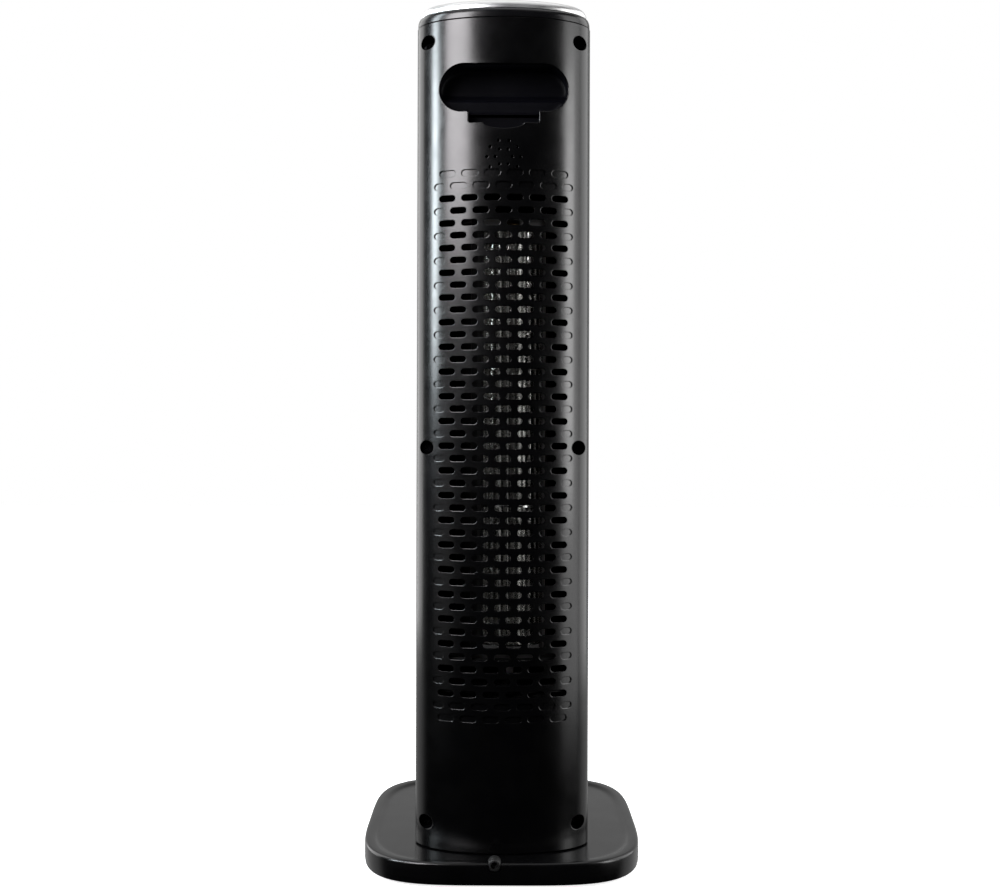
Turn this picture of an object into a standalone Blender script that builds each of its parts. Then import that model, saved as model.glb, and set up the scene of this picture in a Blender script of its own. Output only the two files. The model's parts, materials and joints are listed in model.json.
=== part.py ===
"""Tower fan: a slim column that swings on a low square-round base.

World frame, metres: origin at the middle of the base's footprint, on the
surface the fan stands on.  +Z up, the air outlet faces -Y, the intake grille,
handle and remote dock face +Y.  The column stands 60.5 mm behind the middle
of the base.  Column pieces are modelled around the column's swing axis, so their
own coordinates are (across, back, up).
"""
import math

import bmesh
import bpy
from mathutils import Matrix, Vector

# ---------------------------------------------------------------- dimensions
# column
COL_Y = 0.0605           # swing axis behind the middle of the base
HALF_W = 0.0675          # half width of the column
DEPTH_REAR = 0.035       # rear half, half-ellipse
DEPTH_FRONT = 0.060      # front half, half-ellipse
WALL = 0.0025
Z_COL = 0.0175           # lower edge of the casings
Z_SEAM = 0.6515          # upper edge of the casings
Z_TOP = 0.6667           # top of the trim ring
GAP = 0.0003             # between pieces that meet
PLATE_INSET = 0.0040     # cross plates inside the casings

# base
BASE_HX, BASE_HY = 0.109, 0.1205
BASE_TOP = 0.0186
BASE_POWER = 3.3         # superellipse exponent of the outline
RIM_W = 0.0080
DECK = 0.0166            # recessed upper face of the base
DECK_LOW = 0.0141

# facets of the rear casing, as shares of the half width: the edges pass between slots
REAR_STEPS = [1.0, 0.980, 0.925, 0.850, 0.7645, 0.6370, 0.5096, 0.2548, 0.0]

# intake grille
ROW_TOP = 0.5338
ROW_PITCH = 0.00943
ROWS = range(2, 43)
SLOT_L, SLOT_H = 0.0125, 0.0049
COLS_EVEN = (-0.0430, -0.0258, -0.0086, 0.0086, 0.0258, 0.0430)
COLS_ODD = (-0.0344, -0.0172, 0.0, 0.0172, 0.0344)

# casing screws
SCREW_X = 0.0585
SCREW_Z = (0.6355, 0.325, 0.0367)
BORE_R = 0.0055
BORE_FLOOR = 0.0042

# handle recess and remote dock
HANDLE_Z0, HANDLE_Z1, HANDLE_HALF = 0.581, 0.617, 0.0494
NOTCH_HALF, NOTCH_Z = 0.0270, 0.572
THUMB_HALF, THUMB_Z = 0.0155, 0.5673
POCKET_BACK = 0.0080
LEDGE_Z = 0.5915         # step behind the dock, below the finger space
DOCK_BACK = 0.0177

# sound holes
SOUND_Z = 0.5456
SOUND_R = 0.0012
SOUND_RINGS = ((6, 0.0065, 30.0), (10, 0.0133, 18.0))

# impeller
IMP_X, IMP_Y = -0.006, -0.005
IMP_R = 0.025
IMP_Z = (0.172, 0.279, 0.386, 0.4925)
DISC_T = 0.0015
BLADES = 20
Z_PLATE_LOW, Z_PLATE_HIGH = 0.1625, 0.5010

# swing gears
MODULE = 0.0008
N_FIXED, N_PINION = 36, 12
GEAR_Z0, GEAR_Z1 = 0.0222, 0.0282
GEAR_C = MODULE * (N_FIXED + N_PINION) / 2

# push buttons
BUTTON_X = (-0.032, -0.016, 0.0, 0.016, 0.032)
BUTTON_Y = -0.012
BUTTON_R = 0.0060

# ------------------------------------------------------------------- helpers
for old in list(bpy.data.objects):
    bpy.data.objects.remove(old, do_unlink=True)

parts = bpy.data.collections.new("tower_fan")
cutters = bpy.data.collections.new("cutters")
bpy.context.scene.collection.children.link(parts)
bpy.context.scene.collection.children.link(cutters)


def material(name, colour, roughness, metallic=0.0):
    mat = bpy.data.materials.new(name)
    mat.use_nodes = True
    shader = mat.node_tree.nodes["Principled BSDF"]
    shader.inputs["Base Color"].default_value = (*colour, 1.0)
    shader.inputs["Roughness"].default_value = roughness
    shader.inputs["Metallic"].default_value = metallic
    mat.diffuse_color = (*colour, 1.0)
    return mat


def axis_empty(name, at, parent=None):
    empty = bpy.data.objects.new(name, None)
    empty.location = at
    empty.parent = parent
    parts.objects.link(empty)
    return empty


column = axis_empty("column_axis", (0.0, COL_Y, 0.0))
impeller_axis = axis_empty("impeller_axis", (IMP_X, IMP_Y, 0.0), column)
pinion_axis = axis_empty("pinion_axis", (0.0, -GEAR_C, 0.0), column)


def add(name, bm, mat=None, parent=None, at=(0, 0, 0), turn=(0, 0, 0), smooth=35.0):
    """A part when it has a material, otherwise a cutter."""
    mesh = bpy.data.meshes.new(name)
    bmesh.ops.recalc_face_normals(bm, faces=bm.faces)
    bm.to_mesh(mesh)
    bm.free()
    ob = bpy.data.objects.new(name, mesh)
    ob.location = at
    ob.rotation_euler = turn
    ob.parent = parent
    if mat is None:
        cutters.objects.link(ob)
        ob.hide_render = True
        ob.display_type = "WIRE"
    else:
        parts.objects.link(ob)
        mesh.materials.append(mat)
        mesh.shade_smooth()
        mesh.set_sharp_from_angle(angle=math.radians(smooth))
    return ob


def boolean(ob, tool, operation="DIFFERENCE"):
    mod = ob.modifiers.new(operation.lower(), "BOOLEAN")
    mod.operation = operation
    mod.object = tool
    mod.solver = "EXACT"
    return mod


def put_prism(bm, outline, low, high, axis="Z"):
    """A flat outline pushed along Z, or an outline in X and Z pushed along Y."""
    if axis == "Z":
        start = [bm.verts.new((x, y, low)) for x, y in outline]
        push = Vector((0, 0, high - low))
    else:
        start = [bm.verts.new((x, low, z)) for x, z in outline]
        push = Vector((0, high - low, 0))
    face = bm.faces.new(start)
    grown = bmesh.ops.extrude_face_region(bm, geom=[face], use_keep_orig=True)
    verts = [g for g in grown["geom"] if isinstance(g, bmesh.types.BMVert)]
    bmesh.ops.translate(bm, verts=verts, vec=push)


def prism(outline, low, high, axis="Z"):
    bm = bmesh.new()
    put_prism(bm, outline, low, high, axis)
    return bm


def put_box(bm, x, y, z):
    size = Vector((x[1] - x[0], y[1] - y[0], z[1] - z[0]))
    mid = Vector(((x[0] + x[1]) / 2, (y[0] + y[1]) / 2, (z[0] + z[1]) / 2))
    place = Matrix.Translation(mid) @ Matrix.Diagonal((*size, 1.0))
    bmesh.ops.create_cube(bm, size=1.0, matrix=place)


def box(x, y, z):
    bm = bmesh.new()
    put_box(bm, x, y, z)
    return bm


def put_rod(bm, radius, low, high, at=(0.0, 0.0), axis="Z", sides=24):
    """A cylinder along Z at (x, y), or along Y at (x, z)."""
    mid = (low + high) / 2
    if axis == "Z":
        place = Matrix.Translation((at[0], at[1], mid))
    else:
        place = Matrix.Translation((at[0], mid, at[1])) @ Matrix.Rotation(math.pi / 2, 4, "X")
    bmesh.ops.create_cone(bm, cap_ends=True, segments=sides, radius1=radius,
                          radius2=radius, depth=high - low, matrix=place)


def rod(radius, low, high, at=(0.0, 0.0), axis="Z", sides=24):
    bm = bmesh.new()
    put_rod(bm, radius, low, high, at, axis, sides)
    return bm


def turned(name, profile, mat, parent=None, at=(0, 0, 0), turn=(0, 0, 0), steps=24, ring=True):
    """A profile of (radius, height), down its outer side, turned about Z."""
    mesh = bpy.data.meshes.new(name)
    verts = [(r, 0.0, z) for r, z in profile]
    edges = [(i, i + 1) for i in range(len(verts) - 1)]
    if ring:
        edges.append((len(verts) - 1, 0))
    mesh.from_pydata(verts, edges, [])
    ob = bpy.data.objects.new(name, mesh)
    ob.location = at
    ob.rotation_euler = turn
    ob.parent = parent
    parts.objects.link(ob)
    mesh.materials.append(mat)
    mod = ob.modifiers.new("turn", "SCREW")
    mod.axis = "Z"
    mod.angle = 2 * math.pi
    mod.steps = steps
    mod.render_steps = steps
    mod.use_merge_vertices = True
    mod.merge_threshold = 0.00001
    mod.use_smooth_shade = True
    return ob


def casing_arc(inset, back):
    """Half of the column's outline, from +X round to -X."""
    depth = (DEPTH_REAR if back else DEPTH_FRONT) - inset
    half = HALF_W - inset
    sign = 1.0 if back else -1.0
    right = REAR_STEPS if back else [math.cos(math.pi * i / 16) for i in range(8)] + [0.0]
    across = right + [-c for c in right[-2::-1]]
    return [(half * c, sign * depth * math.sqrt(1 - c * c)) for c in across]


def column_outline(inset):
    return casing_arc(inset, True) + casing_arc(inset, False)[-2:0:-1]


def shell_outline(inset_out, inset_in, back, shy):
    """A C-shaped outline: outer arc out, inner arc home, stopping shy of the joint line."""
    sign = 1.0 if back else -1.0
    outer = casing_arc(inset_out, back)
    inner = casing_arc(inset_in, back)
    for arc in (outer, inner):
        arc[0] = (arc[0][0], sign * shy)
        arc[-1] = (arc[-1][0], sign * shy)
    return outer + inner[::-1]


def squircle(inset, count=40):
    points = []
    for i in range(count):
        a = 2 * math.pi * i / count
        c, s = math.cos(a), math.sin(a)
        points.append(((BASE_HX - inset) * math.copysign(abs(c) ** (2 / BASE_POWER), c),
                       (BASE_HY - inset) * math.copysign(abs(s) ** (2 / BASE_POWER), s)))
    return points


def ring_loft(profile):
    """A closed profile of (inset, height) carried round the column's outline."""
    bm = bmesh.new()
    loops = [[bm.verts.new((x, y, z)) for x, y in column_outline(inset)]
             for inset, z in profile]
    total = len(loops[0])
    for k, loop in enumerate(loops):
        nxt = loops[(k + 1) % len(loops)]
        for i in range(total):
            j = (i + 1) % total
            bm.faces.new((loop[i], loop[j], nxt[j], nxt[i]))
    return bm


def stadium(half, low, high, steps=6, lower=None):
    """A slot outline in X and Z with round ends; lower adds points to its lower side."""
    r = (high - low) / 2
    mid = (high + low) / 2
    right = [(half - r + r * math.cos(a), mid + r * math.sin(a))
             for a in (math.pi * (i / steps) - math.pi / 2 for i in range(steps + 1))]
    left = [(-x, z) for x, z in reversed(right)]
    return right + left + (lower or [])


def gear_outline(teeth, backlash, offset, addendum=0.8, dedendum=1.15):
    """Involute flanks at 20 degrees, three points to a flank, stub addendum."""
    rp = MODULE * teeth / 2
    rb = rp * math.cos(math.radians(20))
    ra = rp + addendum * MODULE
    rf = rp - dedendum * MODULE

    def inv(r):
        if r <= rb:
            return 0.0
        a = math.acos(rb / r)
        return math.tan(a) - a

    half_p = (math.pi * MODULE / 2 - backlash) / (2 * rp)
    points = []
    for t in range(teeth):
        mid = offset + 2 * math.pi * t / teeth
        radii = (rf, rp, ra)
        half = [half_p + inv(rp) - inv(r) for r in (max(rb, (rf + rp) / 2), rp, ra)]
        for r, h in zip(radii, half):
            points.append((r * math.cos(mid - h), r * math.sin(mid - h)))
        for r, h in reversed(list(zip(radii, half))):
            points.append((r * math.cos(mid + h), r * math.sin(mid + h)))
    return points


def strip_outline(line, thickness):
    """A bent strip: an open line given its thickness to one side."""
    off = []
    for i, p in enumerate(line):
        a = Vector(line[max(i - 1, 0)])
        b = Vector(line[min(i + 1, len(line) - 1)])
        d = (b - a).normalized()
        off.append((p[0] - d.y * thickness, p[1] + d.x * thickness))
    return list(line) + off[::-1]


# ----------------------------------------------------------------- materials
black_satin = material("casing_black", (0.018, 0.018, 0.019), 0.38)
black_gloss = material("panel_black", (0.008, 0.008, 0.009), 0.12)
base_black = material("base_black", (0.020, 0.020, 0.022), 0.25)
black_inner = material("inner_black", (0.025, 0.025, 0.026), 0.6)
silver = material("trim_silver", (0.62, 0.62, 0.63), 0.25, 1.0)
steel = material("steel", (0.45, 0.45, 0.46), 0.35, 1.0)
iron = material("ballast_iron", (0.20, 0.20, 0.21), 0.55, 1.0)
rubber = material("rubber", (0.03, 0.03, 0.03), 0.8)
acetal = material("acetal", (0.75, 0.74, 0.70), 0.45)
alloy = material("impeller_grey", (0.42, 0.42, 0.43), 0.35, 0.6)
board_green = material("board_green", (0.03, 0.13, 0.06), 0.5)
bronze = material("sintered_bronze", (0.45, 0.28, 0.12), 0.4, 1.0)
smoke = material("lens_smoke", (0.02, 0.02, 0.025), 0.08)
amber = material("capacitor", (0.12, 0.10, 0.09), 0.4)

# ---------------------------------------------------------------------- base
bm = prism(squircle(0.0), 0.0022, BASE_TOP)
rim_edges = [e for e in bm.edges if all(abs(v.co.z - BASE_TOP) < 1e-6 for v in e.verts)]
bmesh.ops.bevel(bm, geom=rim_edges, offset=0.0024, segments=2, profile=0.5, affect="EDGES")
base_cover = add("base_cover", bm, base_black)
boolean(base_cover, add("cut_deck", prism(squircle(RIM_W), DECK, 0.03)))
boolean(base_cover, add("cut_base_cavity", prism(squircle(0.0022), -0.002, DECK_LOW)))
BASE_SCREWS = ((0.084, 0.062), (-0.084, 0.062), (-0.084, -0.062), (0.084, -0.062))
bm = bmesh.new()
for x, y in BASE_SCREWS:
    put_rod(bm, 0.0040, 0.0042, 0.0150, (x, y), sides=12)
boolean(base_cover, add("base_bosses", bm), "UNION")
bm = bmesh.new()
put_rod(bm, 0.0125, 0.0, 0.03, (0.0, COL_Y), sides=22)
for x, y in BASE_SCREWS:
    put_rod(bm, 0.0015, 0.0, 0.0120, (x, y), sides=8)
boolean(base_cover, add("cut_base_holes", bm))
GLAND_X, GLAND_Z = 0.0053, 0.0168
boolean(base_cover, add("cut_gland", rod(0.0052, 0.1105, 0.130, (GLAND_X, GLAND_Z), "Y", 14)))

base_plate = add("base_plate", prism(squircle(0.0027), 0.0020, 0.0036), steel)
bm = bmesh.new()
for x, y in BASE_SCREWS:
    put_rod(bm, 0.0017, 0.0, 0.006, (x, y), sides=8)
boolean(base_plate, add("cut_plate_holes", bm))

bm = box((-0.072, 0.072), (-0.100, 0.0285), (0.0040, 0.0105))
bmesh.ops.bevel(bm, geom=[e for e in bm.edges if abs(e.verts[0].co.z - e.verts[1].co.z) > 1e-4],
                offset=0.012, segments=3, profile=0.5, affect="EDGES")
add("base_weight", bm, iron)

FEET = ((0.070, 0.088), (-0.070, 0.088), (-0.070, -0.088), (0.070, -0.088))
for n, (x, y) in enumerate(FEET, 1):
    turned(f"foot_{n}", [(0.0, 0.0017), (0.0090, 0.0017), (0.0090, 0.0004), (0.0086, 0.0), (0.0, 0.0)],
           rubber, at=(x, y, 0.0), steps=20, ring=False)

for n, (x, y) in enumerate(BASE_SCREWS, 1):
    turned(f"base_screw_{n}",
           [(0.0, 0.0105), (0.0012, 0.0105), (0.0012, 0.0017), (0.0030, 0.0017), (0.0030, 0.0009),
            (0.0022, 0.0005), (0.0, 0.0005)],
           steel, at=(x, y, 0.0), steps=10, ring=False)

# gland at the rear rim, bored for the supply cord
turned("cord_gland",
       [(0.0028, 0.0092), (0.0036, 0.0092), (0.0046, 0.0086), (0.0049, 0.0070), (0.0049, 0.0),
        (0.0028, 0.0)],
       rubber, at=(GLAND_X, 0.1109, GLAND_Z), turn=(-math.pi / 2, 0, 0), steps=16)

# hollow post: flange under the deck, tube up through the column's floor
turned("pivot_post",
       [(0.0060, 0.0218), (0.0115, 0.0218), (0.0115, 0.0137), (0.0220, 0.0137), (0.0220, 0.0108),
        (0.0060, 0.0108)],
       acetal, at=(0, COL_Y, 0), steps=22)
turned("swivel_washer",
       [(0.0150, 0.0177), (0.0280, 0.0177), (0.0280, 0.0169), (0.0150, 0.0169)],
       acetal, at=(0, COL_Y, 0), steps=22)
fixed_gear = add("fixed_gear", prism(gear_outline(N_FIXED, 0.00022, -math.pi / 2), GEAR_Z0, GEAR_Z1),
                 acetal, at=(0, COL_Y, 0))
boolean(fixed_gear, add("cut_gear_bore", rod(0.0060, 0.01, 0.04, sides=24), at=(0, COL_Y, 0)))

# -------------------------------------------------------------- swing drive
floor_plate = add("column_floor", prism(column_outline(PLATE_INSET), 0.0180, 0.0205), black_inner, column)
boolean(floor_plate, add("cut_floor", rod(0.0140, 0.0, 0.04, sides=22), parent=column))
turned("pivot_bush",
       [(0.0118, 0.0218), (0.0137, 0.0218), (0.0137, 0.0180), (0.0118, 0.0180)],
       bronze, column, steps=22)
pinion = add("swing_pinion",
             prism(gear_outline(N_PINION, 0.00022, math.pi / 2 + math.pi / N_PINION), GEAR_Z0, GEAR_Z1),
             acetal, pinion_axis)
boolean(pinion, add("cut_pinion", rod(0.0019, 0.01, 0.04, sides=12), parent=pinion_axis))
turned("pinion_shaft", [(0.0, 0.0380), (0.0016, 0.0380), (0.0016, 0.0218), (0.0, 0.0218)],
       steel, pinion_axis, steps=12, ring=False)
turned("swing_motor",
       [(0.0, 0.0470), (0.0210, 0.0470), (0.0220, 0.0460), (0.0220, 0.0330), (0.0060, 0.0330),
        (0.0060, 0.0305), (0.0020, 0.0305), (0.0020, 0.0390), (0.0, 0.0390)],
       steel, pinion_axis, steps=20, ring=False)

# ------------------------------------------------------------------- casings
rear_arc = shell_outline(0.0, WALL, True, 0.0002)
rear = add("rear_casing", prism(rear_arc, Z_COL, Z_SEAM), black_satin, column)
bm = bmesh.new()
for z in SCREW_Z:
    for x in (-SCREW_X, SCREW_X):
        put_rod(bm, 0.0068, 0.0002, 0.030, (x, z), "Y", 12)
bosses = add("rear_bosses", bm, parent=column)
boolean(bosses, add("boss_limit", prism(column_outline(0.0010), 0.0, 0.7), parent=column), "INTERSECT")
boolean(rear, bosses, "UNION")
bm = bmesh.new()
for z in SCREW_Z:
    for x in (-SCREW_X, SCREW_X):
        put_rod(bm, BORE_R, BORE_FLOOR, 0.05, (x, z), "Y", 12)
boolean(rear, add("cut_bores", bm, parent=column))
bm = bmesh.new()
for z in SCREW_Z:
    for x in (-SCREW_X, SCREW_X):
        put_rod(bm, 0.0019, -0.004, 0.006, (x, z), "Y", 6)
boolean(rear, add("cut_screw_holes", bm, parent=column))

bm = bmesh.new()
for r in ROWS:
    z = ROW_TOP - ROW_PITCH * r
    for x in (COLS_EVEN if r % 2 == 0 else COLS_ODD):
        put_box(bm, (x - SLOT_L / 2, x + SLOT_L / 2), (0.008, 0.045), (z - SLOT_H / 2, z + SLOT_H / 2))
boolean(rear, add("cut_intake_slots", bm, parent=column))

thumb = [(-NOTCH_HALF, HANDLE_Z0), (-NOTCH_HALF, NOTCH_Z + 0.002), (-NOTCH_HALF + 0.002, NOTCH_Z),
         (-THUMB_HALF, NOTCH_Z)]
thumb += [(-THUMB_HALF * math.cos(math.pi * i / 6), NOTCH_Z - (NOTCH_Z - THUMB_Z) * math.sin(math.pi * i / 6))
          for i in range(1, 6)]
thumb += [(THUMB_HALF, NOTCH_Z), (NOTCH_HALF - 0.002, NOTCH_Z), (NOTCH_HALF, NOTCH_Z + 0.002),
          (NOTCH_HALF, HANDLE_Z0)]
opening = stadium(HANDLE_HALF, HANDLE_Z0, HANDLE_Z1, 6, thumb)
boolean(rear, add("cut_handle", prism(opening, 0.012, 0.045, "Y"), parent=column))
bm = bmesh.new()
for count, radius, start in SOUND_RINGS:
    for i in range(count):
        a = math.radians(start) + 2 * math.pi * i / count
        put_rod(bm, SOUND_R, 0.02, 0.045, (radius * math.sin(a), SOUND_Z + radius * math.cos(a)), "Y", 6)
boolean(rear, add("cut_sound_holes", bm, parent=column))

front = add("front_casing", prism(shell_outline(0.0, WALL, False, 0.0002), Z_COL, Z_SEAM),
            black_satin, column)
bm = bmesh.new()
for z in SCREW_Z:
    for x in (-SCREW_X, SCREW_X):
        put_rod(bm, 0.0062, -0.0180, -0.0002, (x, z), "Y", 12)
bosses = add("front_bosses", bm, parent=column)
boolean(bosses, add("front_boss_limit", prism(column_outline(0.0010), 0.0, 0.7), parent=column), "INTERSECT")
boolean(front, bosses, "UNION")
bm = bmesh.new()
for z in SCREW_Z:
    for x in (-SCREW_X, SCREW_X):
        put_rod(bm, 0.0019, -0.0150, 0.002, (x, z), "Y", 6)
boolean(front, add("cut_front_screw_holes", bm, parent=column))
OUT_X, OUT_Z0, OUT_Z1 = 0.0341, 0.1250, 0.5350
boolean(front, add("cut_outlet", box((-OUT_X, OUT_X), (-0.080, -0.020), (OUT_Z0, OUT_Z1)), parent=column))

n = 0
for z in SCREW_Z:
    for x in (-SCREW_X, SCREW_X):
        n += 1
        turned(f"casing_screw_{n}",
               [(0.0, 0.0070), (0.0026, 0.0068), (0.0040, 0.0058), (0.0040, 0.0045), (0.0016, 0.0045),
                (0.0016, -0.0120), (0.0, -0.0135)],
               steel, column, at=(x, 0.0, z), turn=(-math.pi / 2, 0, 0), steps=10, ring=False)

# outlet grille: a curved plate with upright slots between its bars
PITCH = 0.0062
edges = [-0.0338] + [PITCH * i for i in range(-5, 6)] + [0.0338]


def on_front(x, inset):
    half, depth = HALF_W - inset, DEPTH_FRONT - inset
    return -depth * math.sqrt(1 - (x / half) ** 2)


plate = [(x, on_front(x, 0.0006)) for x in edges] + [(x, on_front(x, 0.0032)) for x in reversed(edges)]
grille = add("front_grille", prism(plate, OUT_Z0 + GAP, OUT_Z1 - GAP), black_satin, column)
ZONES = 5
zone = (OUT_Z1 - OUT_Z0 - 0.010) / ZONES
bm = bmesh.new()
for k in range(ZONES):
    z0 = OUT_Z0 + 0.005 + zone * k + 0.002
    for i in range(-5, 5):
        x = PITCH * (i + 0.5)
        put_box(bm, (x - 0.0021, x + 0.0021), (-0.080, -0.030), (z0, z0 + zone - 0.004))
boolean(grille, add("cut_outlet_slots", bm, parent=column))

# ----------------------------------------------------- handle, dock, buzzer
inner_limit = add("inner_limit", prism(column_outline(0.0029), 0.0, 0.7), parent=column)
pocket = add("handle_pocket",
             prism(stadium(HANDLE_HALF + 0.0018, HANDLE_Z0 - 0.0018, HANDLE_Z1 + 0.0018, 6), POCKET_BACK, 0.040, "Y"),
             black_inner, column)
boolean(pocket, inner_limit, "INTERSECT")
finger_space = [(x, max(z, LEDGE_Z)) for x, z in stadium(HANDLE_HALF, HANDLE_Z0, HANDLE_Z1, 6)]
boolean(pocket, add("cut_pocket", prism(finger_space, POCKET_BACK + 0.0018, 0.05, "Y"), parent=column))
boolean(pocket, add("cut_pocket_front", prism(stadium(HANDLE_HALF, HANDLE_Z0, HANDLE_Z1, 6), DOCK_BACK + 0.0018, 0.05, "Y"),
                    parent=column))
boolean(pocket, add("cut_pocket_floor", box((-0.0268, 0.0268), (DOCK_BACK + 0.0018, 0.05), (0.570, 0.590)),
                    parent=column))
dock = add("remote_dock", box((-0.0288, 0.0288), (DOCK_BACK, 0.040), (0.5640, HANDLE_Z0 - 0.0022)),
           black_inner, column)
boolean(dock, inner_limit, "INTERSECT")
boolean(dock, add("cut_dock", box((-0.0268, 0.0268), (DOCK_BACK + 0.0018, 0.05), (0.5660, 0.590)), parent=column))
turned("buzzer",
       [(0.0, 0.0300), (0.0140, 0.0300), (0.0160, 0.0290), (0.0160, 0.0215), (0.0100, 0.0215), (0.0100, 0.0190),
        (0.0, 0.0190)],
       black_inner, column, at=(0, 0, SOUND_Z), turn=(-math.pi / 2, 0, 0), steps=18, ring=False)

# ------------------------------------------------------------------ air duct
def scroll_line():
    start, end, r0, r1 = 70.0, -46.8, 0.0272, 0.0577
    pts = []
    for i in range(15):
        t = i / 14
        a = math.radians(start + (end - start) * t)
        r = r0 * (r1 / r0) ** t
        pts.append((IMP_X + r * math.cos(a), IMP_Y + r * math.sin(a)))
    return pts


add("scroll_housing", prism(strip_outline(scroll_line(), 0.0015), 0.1654, 0.5006), black_inner, column)
tongue = [(IMP_X + 0.0275 * math.cos(math.radians(a)), IMP_Y + 0.0275 * math.sin(math.radians(a)))
          for a in (176, 188, 200, 212)] + [(-0.0310, -0.0300), (-0.0330, -0.0400), (-0.0335, -0.0465)]
add("tongue_plate", prism(strip_outline(tongue, -0.0015), 0.1654, 0.5006), black_inner, column)
low_plate = add("lower_end_plate", prism(column_outline(PLATE_INSET), Z_PLATE_LOW, Z_PLATE_LOW + 0.0025),
                black_inner, column)
boolean(low_plate, add("cut_low_plate", rod(0.0050, 0.15, 0.18, (IMP_X, IMP_Y), sides=20), parent=column))
high_plate = add("upper_end_plate", prism(column_outline(PLATE_INSET), Z_PLATE_HIGH, Z_PLATE_HIGH + 0.0025),
                 black_inner, column)
boolean(high_plate, add("cut_high_plate", rod(0.0075, 0.49, 0.52, (IMP_X, IMP_Y), sides=24), parent=column))
turned("bearing_bush",
       [(0.0028, 0.5062), (0.0095, 0.5062), (0.0095, 0.5038), (0.0072, 0.5038), (0.0072, 0.4985), (0.0028, 0.4985)],
       bronze, column, at=(IMP_X, IMP_Y, 0), steps=24)

# ------------------------------------------------------------------ impeller
bm = bmesh.new()
for z in IMP_Z:
    put_rod(bm, IMP_R, z, z + DISC_T, sides=30)
impeller = add("impeller", bm, alloy, impeller_axis)
bm = bmesh.new()
for i in range(BLADES):
    a = 2 * math.pi * i / BLADES
    lean = math.radians(28)
    mid = Vector((0.0221 * math.cos(a), 0.0221 * math.sin(a)))
    along = Vector((math.cos(a + lean), math.sin(a + lean)))
    side = Vector((-along.y, along.x))
    corners = [mid + along * s * 0.0024 + side * t * 0.0004 for s, t in ((-1, -1), (1, -1), (1, 1), (-1, 1))]
    put_prism(bm, [(c.x, c.y) for c in corners], IMP_Z[0] + DISC_T / 2, IMP_Z[3] + DISC_T / 2)
boolean(impeller, add("blades", bm, parent=impeller_axis), "UNION")
bm = bmesh.new()
put_rod(bm, 0.0075, IMP_Z[0] + DISC_T / 2, 0.1890, sides=20)
put_rod(bm, 0.0065, 0.4790, IMP_Z[3] + DISC_T / 2, sides=20)
boolean(impeller, add("hubs", bm, parent=impeller_axis), "UNION")
bm = bmesh.new()
put_rod(bm, 0.0033, 0.16, 0.20, sides=16)
put_rod(bm, 0.0028, 0.47, 0.50, sides=16)
boolean(impeller, add("cut_hubs", bm, parent=impeller_axis))
turned("motor_shaft", [(0.0, 0.1885), (0.0030, 0.1885), (0.0030, 0.0700), (0.0, 0.0700)],
       steel, impeller_axis, steps=16, ring=False)
turned("impeller_stub", [(0.0, 0.5090), (0.0025, 0.5090), (0.0025, 0.4795), (0.0, 0.4795)],
       steel, impeller_axis, steps=16, ring=False)

turned("fan_motor",
       [(0.0034, 0.1460), (0.0100, 0.1460), (0.0100, 0.1375), (0.0310, 0.1375), (0.0330, 0.1355), (0.0330, 0.0900),
        (0.0310, 0.0880), (0.0100, 0.0880), (0.0100, 0.0800), (0.0034, 0.0800)],
       steel, column, at=(IMP_X, IMP_Y, 0), steps=22)
motor_plate = add("motor_plate", prism(column_outline(PLATE_INSET), 0.1380, 0.1400), steel, column)
boolean(motor_plate, add("cut_motor_plate", rod(0.0104, 0.13, 0.15, (IMP_X, IMP_Y), sides=24), parent=column))
bm = box((0.036, 0.050), (-0.022, 0.006), (0.1050, 0.1376))
add("motor_capacitor", bm, amber, column)

# -------------------------------------------------------------- power board
board = add("power_board", box((-0.038, 0.038), (-0.040, -0.002), (0.0560, 0.0576)), board_green, column)
bm = bmesh.new()
put_box(bm, (-0.030, -0.012), (-0.034, -0.018), (0.0570, 0.0690))
put_box(bm, (0.000, 0.012), (-0.030, -0.020), (0.0570, 0.0650))
put_box(bm, (0.020, 0.034), (-0.036, -0.010), (0.0570, 0.0660))
boolean(board, add("board_parts", bm, parent=column), "UNION")

# ----------------------------------------------------------------------- top
add("top_cap", ring_loft([(0.0005, 0.6520), (0.0014, 0.6570), (0.0025, 0.6592),
                          (0.0150, 0.6592), (0.0150, 0.6567), (0.0034, 0.6567), (0.0032, 0.6520)]),
    black_gloss, column)
add("trim_ring", ring_loft([(0.0028, 0.6595), (0.0034, 0.6625), (0.0054, 0.6650),
                            (0.0084, Z_TOP), (0.0100, Z_TOP), (0.0109, 0.6658), (0.0109, 0.6595)]),
    silver, column)
panel = add("control_panel", prism(column_outline(0.0113), 0.6596, 0.6632), black_gloss, column)
bm = bmesh.new()
for x in BUTTON_X:
    put_rod(bm, BUTTON_R + GAP, 0.65, 0.67, (x, BUTTON_Y), sides=16)
put_box(bm, (-0.0150, 0.0150), (-0.0350, -0.0240), (0.65, 0.67))
boolean(panel, add("cut_panel", bm, parent=column))
add("display_lens", box((-0.0147, 0.0147), (-0.0347, -0.0243), (0.6600, 0.6633)), smoke, column)

board = add("control_board", box((-0.044, 0.044), (-0.036, 0.004), (0.6480, 0.6496)), board_green, column)
bm = bmesh.new()
for x in BUTTON_X:
    put_box(bm, (x - 0.003, x + 0.003), (BUTTON_Y - 0.003, BUTTON_Y + 0.003), (0.6490, 0.6552))
put_box(bm, (-0.0130, 0.0130), (-0.0340, -0.0250), (0.6490, 0.6580))
boolean(board, add("switches", bm, parent=column), "UNION")

for name, x in zip(("button_power", "button_speed", "button_mode", "button_timer", "button_swing"), BUTTON_X):
    turned(name,
           [(0.0, 0.6642), (0.0054, 0.6642), (0.0060, 0.6637), (0.0060, 0.6591), (0.0072, 0.6591), (0.0072, 0.6574),
            (0.0, 0.6574)],
           black_gloss, column, at=(x, BUTTON_Y, 0), steps=16, ring=False)
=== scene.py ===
import json
import math

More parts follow.
